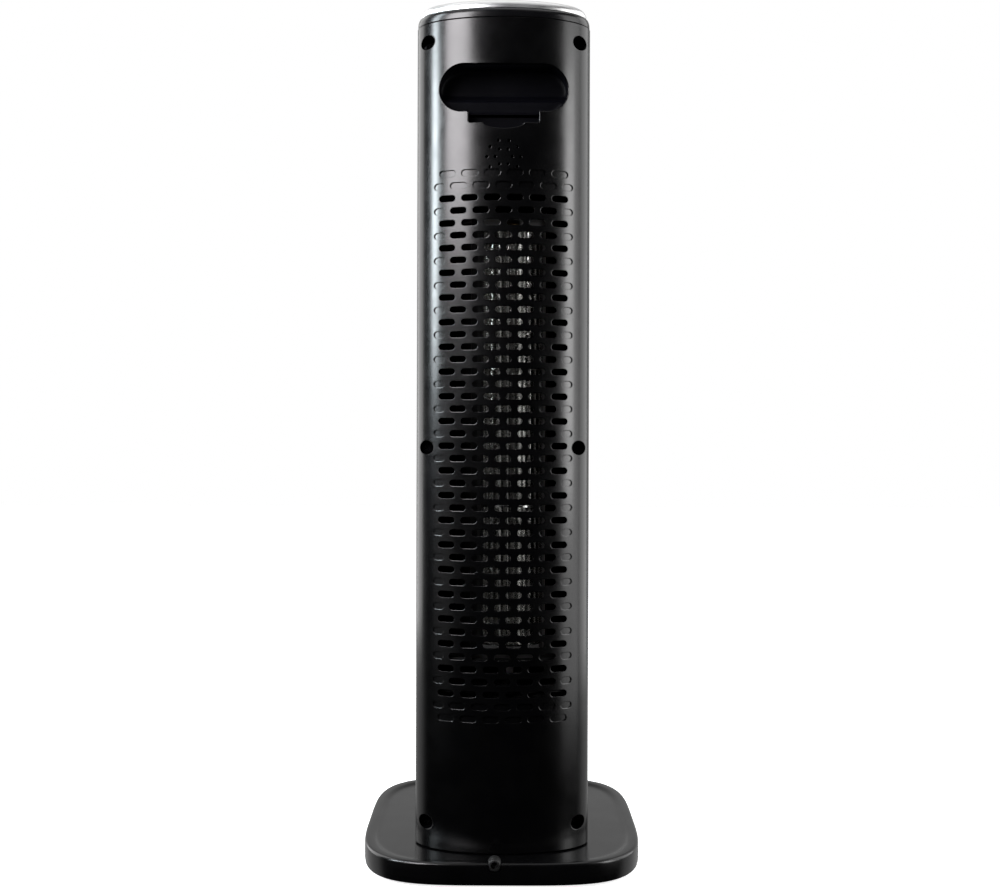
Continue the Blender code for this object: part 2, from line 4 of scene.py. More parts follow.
import bmesh
import bpy
from mathutils import Matrix, Vector
from mathutils.geometry import delaunay_2d_cdt


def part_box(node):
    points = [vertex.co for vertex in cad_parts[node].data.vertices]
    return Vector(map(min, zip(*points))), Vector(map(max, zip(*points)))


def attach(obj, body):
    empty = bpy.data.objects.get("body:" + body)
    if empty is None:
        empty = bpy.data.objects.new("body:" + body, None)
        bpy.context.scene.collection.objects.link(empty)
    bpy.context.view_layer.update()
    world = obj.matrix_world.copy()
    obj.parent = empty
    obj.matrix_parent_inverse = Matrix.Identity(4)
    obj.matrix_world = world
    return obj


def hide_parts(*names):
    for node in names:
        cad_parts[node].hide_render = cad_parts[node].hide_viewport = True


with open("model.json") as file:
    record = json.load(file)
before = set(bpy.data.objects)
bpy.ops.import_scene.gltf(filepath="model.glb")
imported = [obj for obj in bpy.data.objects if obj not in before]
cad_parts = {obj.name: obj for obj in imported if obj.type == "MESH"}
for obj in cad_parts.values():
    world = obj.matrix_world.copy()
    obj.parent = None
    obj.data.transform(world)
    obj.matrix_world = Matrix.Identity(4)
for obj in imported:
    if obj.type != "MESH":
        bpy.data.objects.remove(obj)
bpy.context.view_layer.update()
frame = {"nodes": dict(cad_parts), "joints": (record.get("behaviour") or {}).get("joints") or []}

joints = {j["name"]: j for j in frame["joints"]}
AXY = joints["column_swing"]["pos_m"][1]                 # swing axis, Y
IMPX, IMPY = joints["impeller_spin"]["pos_m"][:2]

rear_lo, rear_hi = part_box("rear_casing")
front_lo, front_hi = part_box("front_casing")
base_lo, base_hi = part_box("base_cover")
HALF = rear_hi.x                                          # half width of the column
Q_REAR = rear_hi.y - AXY
Q_FRONT = AXY - front_lo.y
Z0, Z1 = rear_lo.z, rear_hi.z
WALL = 0.0025

# ------------------------------------------------------------------ materials


def nodes_of(mat):
    return mat.node_tree.nodes, mat.node_tree.links


def moulded(name, dark, light, rough, rough_span=0.05, grain=2600.0, grain_depth=0.00004,
            specular=0.5, metallic=0.0, streak=None, coat=0.0, coat_rough=0.1, blotch=22.0, speckle=0.0):
    """A moulded or metal surface: uneven colour, uneven gloss, and a fine bump, all in object space."""
    mat = bpy.data.materials.new(name)
    mat.use_nodes = True
    n, l = nodes_of(mat)
    shader = n["Principled BSDF"]
    shader.inputs["Metallic"].default_value = metallic
    shader.inputs["Specular IOR Level"].default_value = specular
    shader.inputs["Coat Weight"].default_value = coat
    shader.inputs["Coat Roughness"].default_value = coat_rough
    place = n.new("ShaderNodeTexCoord")

    def noise(scale, detail, stretch=(1, 1, 1), rough_=0.55):
        mapping = n.new("ShaderNodeMapping")
        mapping.inputs["Scale"].default_value = stretch
        l.new(place.outputs["Object"], mapping.inputs["Vector"])
        tex = n.new("ShaderNodeTexNoise")
        tex.inputs["Scale"].default_value = scale
        tex.inputs["Detail"].default_value = detail
        tex.inputs["Roughness"].default_value = rough_
        l.new(mapping.outputs["Vector"], tex.inputs["Vector"])
        return tex.outputs["Fac"]

    cloud = noise(blotch, 5.0)
    ramp = n.new("ShaderNodeValToRGB")
    ramp.color_ramp.elements[0].position = 0.30
    ramp.color_ramp.elements[1].position = 0.72
    ramp.color_ramp.elements[0].color = (*dark, 1)
    ramp.color_ramp.elements[1].color = (*light, 1)
    l.new(cloud, ramp.inputs["Fac"])
    colour = ramp.outputs["Color"]
    if speckle:
        dust = n.new("ShaderNodeTexNoise")
        dust.inputs["Scale"].default_value = 900.0
        dust.inputs["Detail"].default_value = 2.0
        l.new(place.outputs["Object"], dust.inputs["Vector"])
        pick = n.new("ShaderNodeValToRGB")
        pick.color_ramp.elements[0].position = 0.70
        pick.color_ramp.elements[1].position = 0.80
        l.new(dust.outputs["Fac"], pick.inputs["Fac"])
        mix = n.new("ShaderNodeMix")
        mix.data_type = "RGBA"
        strength = n.new("ShaderNodeMath")
        strength.operation = "MULTIPLY"
        strength.inputs[1].default_value = speckle
        l.new(pick.outputs["Color"], strength.inputs[0])
        l.new(strength.outputs["Value"], mix.inputs["Factor"])
        l.new(colour, mix.inputs["A"])
        mix.inputs["B"].default_value = (0.10, 0.10, 0.10, 1)
        colour = mix.outputs["Result"]
    l.new(colour, shader.inputs["Base Color"])

    gloss = noise(blotch * 2.3, 6.0)
    spread = n.new("ShaderNodeMapRange")
    spread.inputs["From Min"].default_value = 0.3
    spread.inputs["From Max"].default_value = 0.7
    spread.inputs["To Min"].default_value = rough - rough_span
    spread.inputs["To Max"].default_value = rough + rough_span
    l.new(gloss, spread.inputs["Value"])
    l.new(spread.outputs["Result"], shader.inputs["Roughness"])

    fine = noise(grain, 3.0, rough_=0.6)
    height = fine
    if streak:
        lines = noise(streak[0], 4.0, streak[1], 0.5)
        mix = n.new("ShaderNodeMath")
        mix.operation = "MULTIPLY_ADD"
        mix.inputs[1].default_value = streak[2]
        l.new(lines, mix.inputs[0])
        l.new(fine, mix.inputs[2])
        height = mix.outputs["Value"]
    bump = n.new("ShaderNodeBump")
    bump.inputs["Strength"].default_value = 0.6
    bump.inputs["Distance"].default_value = grain_depth
    l.new(height, bump.inputs["Height"])
    l.new(bump.outputs["Normal"], shader.inputs["Normal"])
    return mat


M = {
    "casing": moulded("casing_satin_black", (0.0003, 0.0003, 0.0004), (0.0008, 0.0008, 0.0010), 0.225, 0.03,
                      grain=2400, grain_depth=0.000008, specular=0.5,
                      streak=(120.0, (0.25, 0.25, 14.0), 1.4)),
    "band": moulded("band_black", (0.0014, 0.0014, 0.0018), (0.0024, 0.0024, 0.0028), 0.22, 0.03, grain_depth=0.00001),
    "panel": moulded("panel_gloss_black", (0.0014, 0.0014, 0.0018), (0.0024, 0.0024, 0.0028), 0.10, 0.03,
                     grain_depth=0.000006, coat=0.6, coat_rough=0.04),
    "base": moulded("base_black_moulding", (0.0007, 0.0007, 0.0008), (0.0014, 0.0014, 0.0016), 0.23, 0.03,
                    grain=1700, grain_depth=0.000012, specular=0.45, speckle=0.03),
    "inner": moulded("inner_black_moulding", (0.0009, 0.0009, 0.0016), (0.0016, 0.0016, 0.0026), 0.46, 0.05,
                     grain_depth=0.00001, specular=0.05),
    "deep": moulded("duct_black", (0.0014, 0.0014, 0.0014), (0.0024, 0.0024, 0.0024), 0.55, 0.06, specular=0.12),
    "silver": moulded("trim_silver_satin", (0.74, 0.74, 0.74), (0.82, 0.82, 0.82), 0.34, 0.04, metallic=1.0,
                      grain_depth=0.000008, streak=(300.0, (1.0, 1.0, 30.0), 1.0)),
    "steel": moulded("zinc_steel", (0.40, 0.40, 0.41), (0.52, 0.52, 0.53), 0.32, 0.07, metallic=1.0,
                     grain_depth=0.00003),
    # screw colour: black zinc, pushed darker than real plating as painted shade for the heads sitting deep in the screw
    # wells
    "screw": moulded("screw_black_zinc_painted_shade", (0.005, 0.005, 0.006), (0.012, 0.012, 0.013), 0.38, 0.07, metallic=1.0,
                     grain_depth=0.00003),
    "iron": moulded("cast_iron", (0.10, 0.10, 0.10), (0.17, 0.16, 0.15), 0.6, 0.08, metallic=1.0,
                    grain=700, grain_depth=0.0003),
    "rubber": moulded("soft_rubber", (0.0040, 0.0040, 0.0040), (0.0080, 0.0080, 0.0080), 0.55, 0.06, grain_depth=0.00008,
                      specular=0.35, speckle=0.08),
    "acetal": moulded("acetal", (0.66, 0.65, 0.60), (0.74, 0.73, 0.69), 0.42, 0.05, grain_depth=0.00003),
    "blade": moulded("impeller_metal", (0.50, 0.50, 0.49), (0.64, 0.64, 0.62), 0.22, 0.04, metallic=1.0,
                     grain_depth=0.00003, streak=(200.0, (4.0, 4.0, 0.3), 1.0)),
    "board": moulded("circuit_board", (0.012, 0.06, 0.025), (0.02, 0.09, 0.04), 0.4, 0.06, grain=900,
                     grain_depth=0.00006),
    "bronze": moulded("oiled_bronze", (0.07, 0.045, 0.022), (0.12, 0.08, 0.04), 0.42, 0.06, metallic=1.0, grain=1500,
                      grain_depth=0.00008),
    "lens": moulded("smoked_lens", (0.002, 0.002, 0.003), (0.004, 0.004, 0.006), 0.07, 0.02, grain_depth=0.000003,
                    coat=0.8, coat_rough=0.03),
    "mark": moulded("button_mark", (0.42, 0.42, 0.42), (0.50, 0.50, 0.50), 0.45, 0.05, grain_depth=0.00001),
    "capacitor": moulded("capacitor_case", (0.03, 0.025, 0.02), (0.05, 0.042, 0.035), 0.4, 0.05),
}

# ---------------------------------------------------------------- mesh making


def piece(name, verts, faces, mat, body, replaces=(), smooth=40.0, normals=None, modifiers=()):
    """A finished piece in the row frame, riding on its body."""
    mesh = bpy.data.meshes.new(name)
    mesh.from_pydata([tuple(v) for v in verts], [], faces)
    mesh.update()
    ob = bpy.data.objects.new(name, mesh)
    bpy.context.scene.collection.objects.link(ob)
    mesh.materials.append(mat)
    mesh.shade_smooth()
    mesh.set_sharp_from_angle(angle=math.radians(smooth))
    if normals is not None:
        mesh.normals_split_custom_set(normals(mesh))
    for kind, settings in modifiers:
        mod = ob.modifiers.new(kind.lower(), kind)
        for key, value in settings.items():
            setattr(mod, key, value)
    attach(ob, body)
    if replaces:
        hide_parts(*replaces)
    return ob


def from_bmesh(name, bm, mat, body, replaces=(), smooth=40.0, modifiers=()):
    bmesh.ops.recalc_face_normals(bm, faces=bm.faces)
    bm.verts.index_update()
    verts = [v.co.copy() for v in bm.verts]
    faces = [[v.index for v in f.verts] for f in bm.faces]
    bm.free()
    return piece(name, verts, faces, mat, body, replaces, smooth, None, modifiers)


def offset(pts, d):
    """A closed outline moved outwards by d; counter-clockwise outlines grow."""
    out = []
    for i, p in enumerate(pts):
        a, b = Vector(pts[i - 1]), Vector(pts[(i + 1) % len(pts)])
        e1, e2 = (Vector(p) - a), (b - Vector(p))
        n1 = Vector((e1.y, -e1.x)).normalized() if e1.length > 1e-9 else Vector((0, 0))
        n2 = Vector((e2.y, -e2.x)).normalized() if e2.length > 1e-9 else Vector((0, 0))
        n = n1 + n2
        n = n / max(n.dot(n) / 2, 0.35)
        out.append((p[0] + n.x * d, p[1] + n.y * d))
    return out


def slot_outline(cx, cz, half, r, steps=7):
    right = [(cx + half - r + r * math.cos(a), cz + r * math.sin(a))
             for a in (math.pi * i / steps - math.pi / 2 for i in range(steps + 1))]
    left = [(cx - half + r - r * math.cos(a), cz + r * math.sin(a))
            for a in (math.pi / 2 - math.pi * i / steps for i in range(steps + 1))]
    return right + left


def disc_outline(cx, cz, r, steps=24):
    return [(cx + r * math.cos(2 * math.pi * i / steps), cz + r * math.sin(2 * math.pi * i / steps))
            for i in range(steps)]


def upright_slot(cx, z0, z1, r, steps=6):
    top = [(cx + r * math.cos(a), z1 - r + r * math.sin(a)) for a in (math.pi * i / steps for i in range(steps + 1))]
    low = [(cx - r * math.cos(a), z0 + r - r * math.sin(a)) for a in (math.pi * i / steps for i in range(steps + 1))]
    return top + low


def inside(pt, poly):
    x, y = pt
    hit = False
    j = len(poly) - 1
    for i in range(len(poly)):
        xi, yi = poly[i]
        xj, yj = poly[j]
        if (yi > y) != (yj > y) and x < (xj - xi) * (y - yi) / (yj - yi) + xi:
            hit = not hit
        j = i
    return hit


class Hole:
    """An opening in a shell: its nominal outline in X and Z, its rounded lip, and how it ends."""

    def __init__(self, pts, lip, depth=None, floor=None, convex=True, rings=2):
        self.pts, self.lip, self.depth, self.floor, self.convex = pts, lip, depth, floor, convex
        xs, zs = [p[0] for p in pts], [p[1] for p in pts]
        self.box = (min(xs), max(xs), min(zs), max(zs))
        steps = rings
        self.rings = [(lip * (1 - math.sin(math.pi / 2 * k / steps)), lip * (1 - math.cos(math.pi / 2 * k / steps)))
                      for k in range(steps + 1)]

    @property
    def through(self):
        return self.depth is None and self.floor is None


def shell(name, a, q, sign, wall, z0, z1, x_end, lip, holes, mat, body, replaces, step=0.0030, zstep=0.0060,
          shy=0.0002, rows=None, floor_ring=True):
    """A curved shell around the swing axis: x = a sin t, v = sign q cos t, with rounded openings and edges."""
    full = x_end is None
    t_out = math.acos((shy + lip) / q) if full else math.asin(x_end / a)
    ai, qi = a - wall, q - wall
    t_in = math.acos(shy / qi) if full else math.asin(min(x_end / ai, 0.9999))
    verts, faces, skin = [], [], {}

    def put(x, v, z, normal=None):
        verts.append((x, AXY + sign * v, z))
        if normal is not None:
            skin[len(verts) - 1] = normal
        return len(verts) - 1

    nu, nz = max(8, int(2 * a * t_out / step)), max(4, int((z1 - z0) / zstep))

    def surface(aa, qq, t_max, zlo, zhi, loops, inner):
        us = [-aa * t_max + 2 * aa * t_max * i / nu for i in range(nu + 1)]
        zs = [zlo + (zhi - zlo) * i / nz for i in range(nz + 1)]
        border = [(u, zlo) for u in us] + [(us[-1], z) for z in zs[1:]] + [(u, zhi) for u in us[-2::-1]] \
            + [(us[0], z) for z in zs[-2:0:-1]]
        coords = [Vector(p) for p in border]
        edges = [(i, (i + 1) % len(border)) for i in range(len(border))]
        ids = []
        for hole, pts in loops:
            start = len(coords)
            for x, z in pts:
                coords.append(Vector((aa * math.asin(max(-0.99999, min(0.99999, x / aa))), z)))
            edges += [(start + i, start + (i + 1) % len(pts)) for i in range(len(pts))]
            ids.append((start, len(pts)))
        pad = 0.0007
        boxes = [(min(p[0] for p in pts) - pad, max(p[0] for p in pts) + pad,
                  min(p[1] for p in pts) - pad, max(p[1] for p in pts) + pad) for _, pts in loops]
        for u in us[1:-1]:
            x = aa * math.sin(u / aa)
            near = [b for b in boxes if b[0] < x < b[1]]
            for z in zs[1:-1]:
                if not any(b[2] < z < b[3] for b in near):
                    coords.append(Vector((u, z)))
        out_v, _, out_f, orig, _, _ = delaunay_2d_cdt(coords, edges, [], 1, 1e-7, True)
        where = {}
        for k, sources in enumerate(orig):
            for s in sources:
                where[s] = k
        owner = {}
        for h, (start, count) in enumerate(ids):
            for i in range(count):
                owner[where[start + i]] = h
        base = len(verts)
        for co in out_v:
            t = co.x / aa
            nx, ny = math.sin(t) / aa, math.cos(t) / qq
            ln = math.hypot(nx, ny)
            flip = -1.0 if inner else 1.0
            put(aa * math.sin(t), qq * math.cos(t), co.y, (flip * nx / ln, flip * sign * ny / ln, 0.0))
        for f in out_f:
            hs = {owner.get(i, -1) for i in f}
            if len(hs) == 1 and -1 not in hs:
                hole, pts = loops[hs.pop()]
                if hole.convex:
                    continue
                c = sum((out_v[i] for i in f), Vector((0, 0))) / len(f)
                if inside((aa * math.sin(c.x / aa), c.y), pts):
                    continue
            f = [base + i for i in f]
            faces.append(f if (sign > 0) == inner else f[::-1])
        rim = [base + where[i] for i in range(len(border))]
        rims = [[base + where[start + i] for i in range(count)] for start, count in ids]
        return border, rim, rims

    def stitch(one, two, flip):
        total = len(one)
        for i in range(total):
            j = (i + 1) % total
            quad = [one[i], one[j], two[j], two[i]]
            faces.append(quad[::-1] if flip else quad)

    depth_of = lambda aa, qq, x: qq * math.sqrt(max(0.0, 1 - (x / aa) ** 2))
    outer_loops = [(h, offset(h.pts, h.rings[0][0])) for h in holes]
    border, rim, rims = surface(a, q, t_out, z0 + lip, z1 - lip, outer_loops, False)
    pierced = [h for h in holes if h.depth is None]
    boss = 0.0004
    _, rim_in, rims_in = surface(ai, qi, t_in, z0, z1,
                                 [(h, h.pts if h.through else offset(h.pts, boss)) for h in pierced], True)
    inner_of = dict(zip(map(id, pierced), rims_in))
    flip = sign > 0
    for hole, ring in zip(holes, rims):
        last = ring
        for off, down in hole.rings[1:]:
            pts = offset(hole.pts, off)
            new = [put(x, depth_of(a, q, x) - down, z) for x, z in pts]
            stitch(last, new, flip)
            last = new
        if hole.through:
            stitch(last, inner_of[id(hole)], flip)
        else:
            low = []
            for x, z in hole.pts:
                t = math.asin(x / a)
                nx, ny = math.sin(t) / a, math.cos(t) / q
                ln = math.hypot(nx, ny)
                flat = hole.floor is not None
                low.append(put(x, hole.floor if flat else depth_of(a, q, x) - hole.depth, z,
                               None if flat else (nx / ln, sign * ny / ln, 0.0)))
            stitch(last, low, flip)
            faces.append(low[::-1] if flip else low)
            if hole.floor is not None:
                under = [put(x, hole.floor - 0.0008, z) for x, z in offset(hole.pts, boss)]
                stitch(inner_of[id(hole)], under, not flip)
                faces.append(under if flip else under[::-1])
    # rounded outer edge, then the flat end
    edge = []
    for k, (u, z) in enumerate(border):
        t = u / a
        x, v = (a - lip) * math.sin(t), (q - lip) * math.cos(t)
        zz = z0 if k <= nu else z1 if nu + nz <= k <= 2 * nu + nz else z
        side = (nu <= k <= nu + nz) or k >= 2 * nu + nz or k == 0
        if side and full:
            v = shy
        edge.append(put(x, v, zz))
    stitch(rim, edge, not flip)
    stitch(edge, rim_in, not flip)

    def custom(mesh):
        out = []
        for poly in mesh.polygons:
            on = all(i in skin for i in poly.vertices)
            for i in poly.vertices:
                out.append(skin[i] if on else (0.0, 0.0, 0.0))
        return out

    return piece(name, verts, faces, mat, body, replaces, 40.0, custom)


def outline(inset, count=48):
    """The column's outline round the swing axis, counter-clockwise from +X."""
    pts = []
    for i in range(2 * count):
        t = math.pi * i / count
        depth = (Q_REAR if math.sin(t) >= 0 else Q_FRONT) - inset
        pts.append(((HALF - inset) * math.cos(t), AXY + depth * math.sin(t)))
    return pts


def lofted(name, profile, shape, mat, body, replaces, closed=True, cap=None, smooth=40.0, modifiers=()):
    """A profile of (inset, height) carried round an outline."""
    bm = bmesh.new()
    loops = [[bm.verts.new((x, y, z)) for x, y in shape(inset)] for inset, z in profile]
    count = len(loops[0])
    pairs = list(zip(loops, loops[1:])) + ([(loops[-1], loops[0])] if closed else [])
    for one, two in pairs:
        for i in range(count):
            j = (i + 1) % count
            bm.faces.new((one[i], one[j], two[j], two[i]))
    if not closed and cap:
        cap(bm, loops)
    return from_bmesh(name, bm, mat, body, replaces, smooth, modifiers)


def spun(name, profile, at, mat, body, replaces=(), steps=48, axis="Z", smooth=40.0):
    """A closed profile of (radius, height) turned about an axis through at."""
    bm = bmesh.new()
    rings = []
    for r, h in profile:
        if r < 1e-9:
            rings.append([bm.verts.new((0, 0, h))])
        else:
            rings.append([bm.verts.new((r * math.cos(2 * math.pi * i / steps), r * math.sin(2 * math.pi * i / steps), h))
                          for i in range(steps)])
    pairs = list(zip(rings, rings[1:]))
    if len(rings[0]) > 1 and len(rings[-1]) > 1:
        pairs.append((rings[-1], rings[0]))
    for one, two in pairs:
        for i in range(steps):
            j = (i + 1) % steps
            ring = [one[i % len(one)], one[j % len(one)], two[j % len(two)], two[i % len(two)]]
            corners = list(dict.fromkeys(ring))
            if len(corners) > 2:
                bm.faces.new(corners)
    turn = Matrix.Rotation(-math.pi / 2, 4, "X") if axis == "Y" else Matrix.Identity(4)
    bmesh.ops.transform(bm, matrix=Matrix.Translation(Vector(at)) @ turn, verts=bm.verts)
    return from_bmesh(name, bm, mat, body, replaces, smooth)


def arc(cx, cz, r, a0, a1, steps):
    return [(cx + r * math.cos(math.radians(a0 + (a1 - a0) * i / steps)),
             cz + r * math.sin(math.radians(a0 + (a1 - a0) * i / steps))) for i in range(steps + 1)]


# --------------------------------------------------------------- rear casing
SLOT_L, SLOT_H = 0.0125, 0.0049
ROW_TOP, ROW_PITCH = 0.5338, 0.00943
holes = []
for r in range(45):
    z = ROW_TOP - ROW_PITCH * r
    blind_row = r in (0, 1, 43, 44)
    for x in ((-0.0430, -0.0258, -0.0086, 0.0086, 0.0258, 0.0430) if r % 2 == 0 else (-0.0344, -0.0172, 0.0, 0.0172, 0.0344)):
        pts = slot_outline(x, z, SLOT_L / 2, SLOT_H / 2)
        holes.append(Hole(pts, 0.0004 if blind_row else 0.0003, depth=0.0011 if blind_row else None))
    if r % 2:
        for x in (-0.0490, 0.0490):
            holes.append(Hole(slot_outline(x, z, 0.0041, SLOT_H / 2), 0.0004, depth=0.0011))
for sx in (-0.0585, 0.0585):
    for sz in (0.637, 0.325, 0.0367):
        holes.append(Hole(disc_outline(sx, sz, 0.0055, 28), 0.0004, floor=0.0043))
for count, radius, start in ((6, 0.0065, 30.0), (10, 0.0128, 18.0)):
    for i in range(count):
        a = math.radians(start) + 2 * math.pi * i / count
        if 0.5456 + radius * math.cos(a) < ROW_TOP + 0.0035:
            continue
        holes.append(Hole(disc_outline(radius * math.sin(a), 0.5456 + radius * math.cos(a), 0.0011, 12), 0.0002))

H0, H1, HH = 0.581, 0.617, 0.0494
HR = (H1 - H0) / 2
handle = [(HH - HR + HR * math.cos(a), (H0 + H1) / 2 + HR * math.sin(a)) for a in (math.pi * i / 20 - math.pi / 2 for i in range(21))]
handle += [(-x, z) for x, z in reversed(handle)]
low = arc(-0.0282, 0.5798, 0.0012, 90, 0, 4) + [(-0.0270, 0.5740)] + arc(-0.0250, 0.5740, 0.0020, 180, 270, 5)[1:] \
    + [(-0.0165, 0.5720)]
thumb = [(-0.0155 * math.cos(math.pi * i / 16), 0.5720 - 0.0047 * math.sin(math.pi * i / 16)) for i in range(1, 16)]
notch = low + [(-0.0155, 0.5720)] + thumb + [(0.0155, 0.5720)] + [(-x, z) for x, z in reversed(low)]
handle_full = handle + notch
holes.append(Hole(handle_full, 0.0007, convex=False, rings=3))
shell("rear_casing_skin", HALF, Q_REAR, 1, WALL, Z0, Z1, None, 0.0004, holes, M["casing"], "column",
      ("rear_casing",))

# -------------------------------------------------------------- front casing
grille_lo, grille_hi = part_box("front_grille")
OX, OZ0, OZ1 = grille_hi.x + 0.0003, grille_lo.z - 0.0003, grille_hi.z + 0.0003
rc = 0.0012
outlet = arc(OX - rc, OZ0 + rc, rc, -90, 0, 4) + [(OX, OZ0 + (OZ1 - OZ0) * k / 24) for k in range(1, 24)] \
    + arc(OX - rc, OZ1 - rc, rc, 0, 90, 4) + [(OX - 2 * OX * k / 12, OZ1) for k in range(1, 12)] \
    + arc(-OX + rc, OZ1 - rc, rc, 90, 180, 4) + [(-OX, OZ1 - (OZ1 - OZ0) * k / 24) for k in range(1, 24)] \
    + arc(-OX + rc, OZ0 + rc, rc, 180, 270, 4) + [(-OX + 2 * OX * k / 12, OZ0) for k in range(1, 12)]
shell("front_casing_skin", HALF, Q_FRONT, -1, WALL, Z0, Z1, None, 0.0004, [Hole(outlet, 0.0006, rings=3)],
      M["casing"], "column", ("front_casing",), step=0.0028, zstep=0.012)
bars = []
zone = (OZ1 - OZ0 - 0.010) / 5
for k in range(5):
    low_z = OZ0 + 0.005 + zone * k + 0.002
    for i in range(-5, 5):
        bars.append(Hole(upright_slot(0.0062 * (i + 0.5), low_z, low_z + zone - 0.004, 0.0021), 0.0005))
shell("front_grille_bars", HALF - 0.0006, Q_FRONT - 0.0006, -1, 0.0026, grille_lo.z, grille_hi.z, grille_hi.x, 0.0004,
      bars, M["casing"], "column", ("front_grille",), step=0.0020, zstep=0.012)

# ------------------------------------------------------------- handle pocket
ledge_z, back_v, front_v = 0.5965, 0.0098, 0.0195
stad = [(x, z) for x, z in handle]


def back_at(z):
    """Depth of the pocket's back: deep above, then rounded over onto the step behind the dock."""
    r = front_v - back_v
    s = min(1.0, max(0.0, (ledge_z + 0.0015 - z) / 0.0085))
    return back_v + r * s * s * (3 - 2 * s)


coords, edges = [], []
rings = []
for d in (0.0, 0.0006, 0.0016, 0.0030):
    pts = offset(stad, -d)
    start = len(coords)
    coords += [Vector(p) for p in pts]
    edges += [(start + i, start + (i + 1) % len(pts)) for i in range(len(pts))]
    rings.append((start, len(pts), d))
core = offset(stad, -0.0036)
for i in range(-24, 25):
    for k in range(1, 40):
        p = (i * 0.002, H0 + k * 0.0009)
        if inside(p, core):
            coords.append(Vector(p))
out_v, _, out_f, orig, _, _ = delaunay_2d_cdt(coords, edges, [], 1, 1e-7, True)
ring_of = {}
for k, sources in enumerate(orig):
    for s in sources:
        for start, count, d in rings:
            if start <= s < start + count:
                ring_of[k] = d


def corner(k, co):
    r = 0.0030
    d = ring_of.get(k)
    if d is None or (co.y < H0 + 0.0035 and abs(co.x) < 0.0268):
        return 0.0
    return r - math.sqrt(max(0.0, r * r - (r - d) ** 2))


verts = [(co.x, AXY + back_at(co.y) + corner(k, co), co.y) for k, co in enumerate(out_v)]
faces = [[i for i in f] for f in out_f]
where = {s: k for k, sources in enumerate(orig) for s in sources}
first = [where[i] for i in range(rings[0][1])]
front_ring = []
for x, z in stad:
    v = (Q_REAR - WALL) * math.sqrt(1 - (x / (HALF - WALL)) ** 2) - 0.0003
    verts.append((x, AXY + v, z))
    front_ring.append(len(verts) - 1)
for i in range(len(first)):
    j = (i + 1) % len(first)
    if stad[i][1] < H0 + 0.001 and stad[j][1] < H0 + 0.001 and max(abs(stad[i][0]), abs(stad[j][0])) < 0.0332:
        continue
    faces.append([first[i], first[j], front_ring[j], front_ring[i]])
# the floor beside the dock slot
for s in (-1, 1):
    cols = []
    for x in (0.0268, 0.0291, 0.0314):
        col = []
        for t in range(5):
            v0 = back_at(H0)
            v1 = (Q_REAR - WALL) * math.sqrt(1 - (x / (HALF - WALL)) ** 2) - 0.0003
            verts.append((s * x, AXY + v0 + (v1 - v0) * t / 4, H0))
            col.append(len(verts) - 1)
        cols.append(col)
    for one, two in zip(cols, cols[1:]):
        for t in range(4):
            quad = [one[t], one[t + 1], two[t + 1], two[t]]
            faces.append(quad if s > 0 else quad[::-1])
bm = bmesh.new()
bv = [bm.verts.new(v) for v in verts]
for f in faces:
    try:
        bm.faces.new([bv[i] for i in f])
    except ValueError:
        pass
bmesh.ops.remove_doubles(bm, verts=bm.verts, dist=0.00002)
bmesh.ops.delete(bm, geom=[v for v in bm.verts if not v.link_faces], context="VERTS")
bmesh.ops.recalc_face_normals(bm, faces=bm.faces)
probe = max(bm.faces, key=lambda f: f.calc_area())
if sum(f.normal.y * f.calc_area() for f in bm.faces) < 0:
    bmesh.ops.reverse_faces(bm, faces=bm.faces)
bm.verts.index_update()
verts = [v.co.copy() for v in bm.verts]
faces = [[v.index for v in f.verts] for f in bm.faces]
bm.free()
piece("handle_pocket_liner", verts, faces, M["inner"], "column", ("handle_pocket",), 50.0,
      modifiers=(("SOLIDIFY", {"thickness": 0.0012, "offset": -1.0}),))

# ----------------------------------------------------------------------- top
band = [(0.0030, 0.6520), (0.0007, 0.6520), (0.0004, 0.6523), (0.0004, 0.6534)]
band += [(0.0004 + 0.0023 * (1 - math.cos(math.radians(a))), 0.6534 + 0.0056 * math.sin(math.radians(a)))
         for a in (12, 24, 36, 48, 60, 72, 82)]
band += [(0.0030, 0.6592), (0.0150, 0.6592), (0.0150, 0.6567), (0.0036, 0.6567)]
lofted("top_cap_band", band, outline, M["band"], "column", ("top_cap",))
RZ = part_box("trim_ring")[1].z
ring = [(0.0040, 0.6595), (0.0031, 0.6595), (0.0028, 0.6598)]
ring += [(0.0028 + 0.0062 * (1 - math.cos(math.radians(a))), 0.6602 + (RZ - 0.6602) * math.sin(math.radians(a)))
         for a in (10, 20, 30, 40, 50, 60, 70, 80, 90)]
ring += [(0.0098, RZ), (0.0103, RZ - 0.0002), (0.0107, RZ - 0.0006), (0.0108, RZ - 0.0012), (0.0108, 0.6595)]
lofted("trim_ring_satin", ring, outline, M["silver"], "column", ("trim_ring",))

BUTTONS = [("button_power", -0.032), ("button_speed", -0.016), ("button_mode", 0.0), ("button_timer", 0.016),
           ("button_swing", 0.032)]
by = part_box("button_mode")
BY = (by[0].y + by[1].y) / 2
panel_lo, panel_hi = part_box("control_panel")
lens_lo, lens_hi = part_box("display_lens")


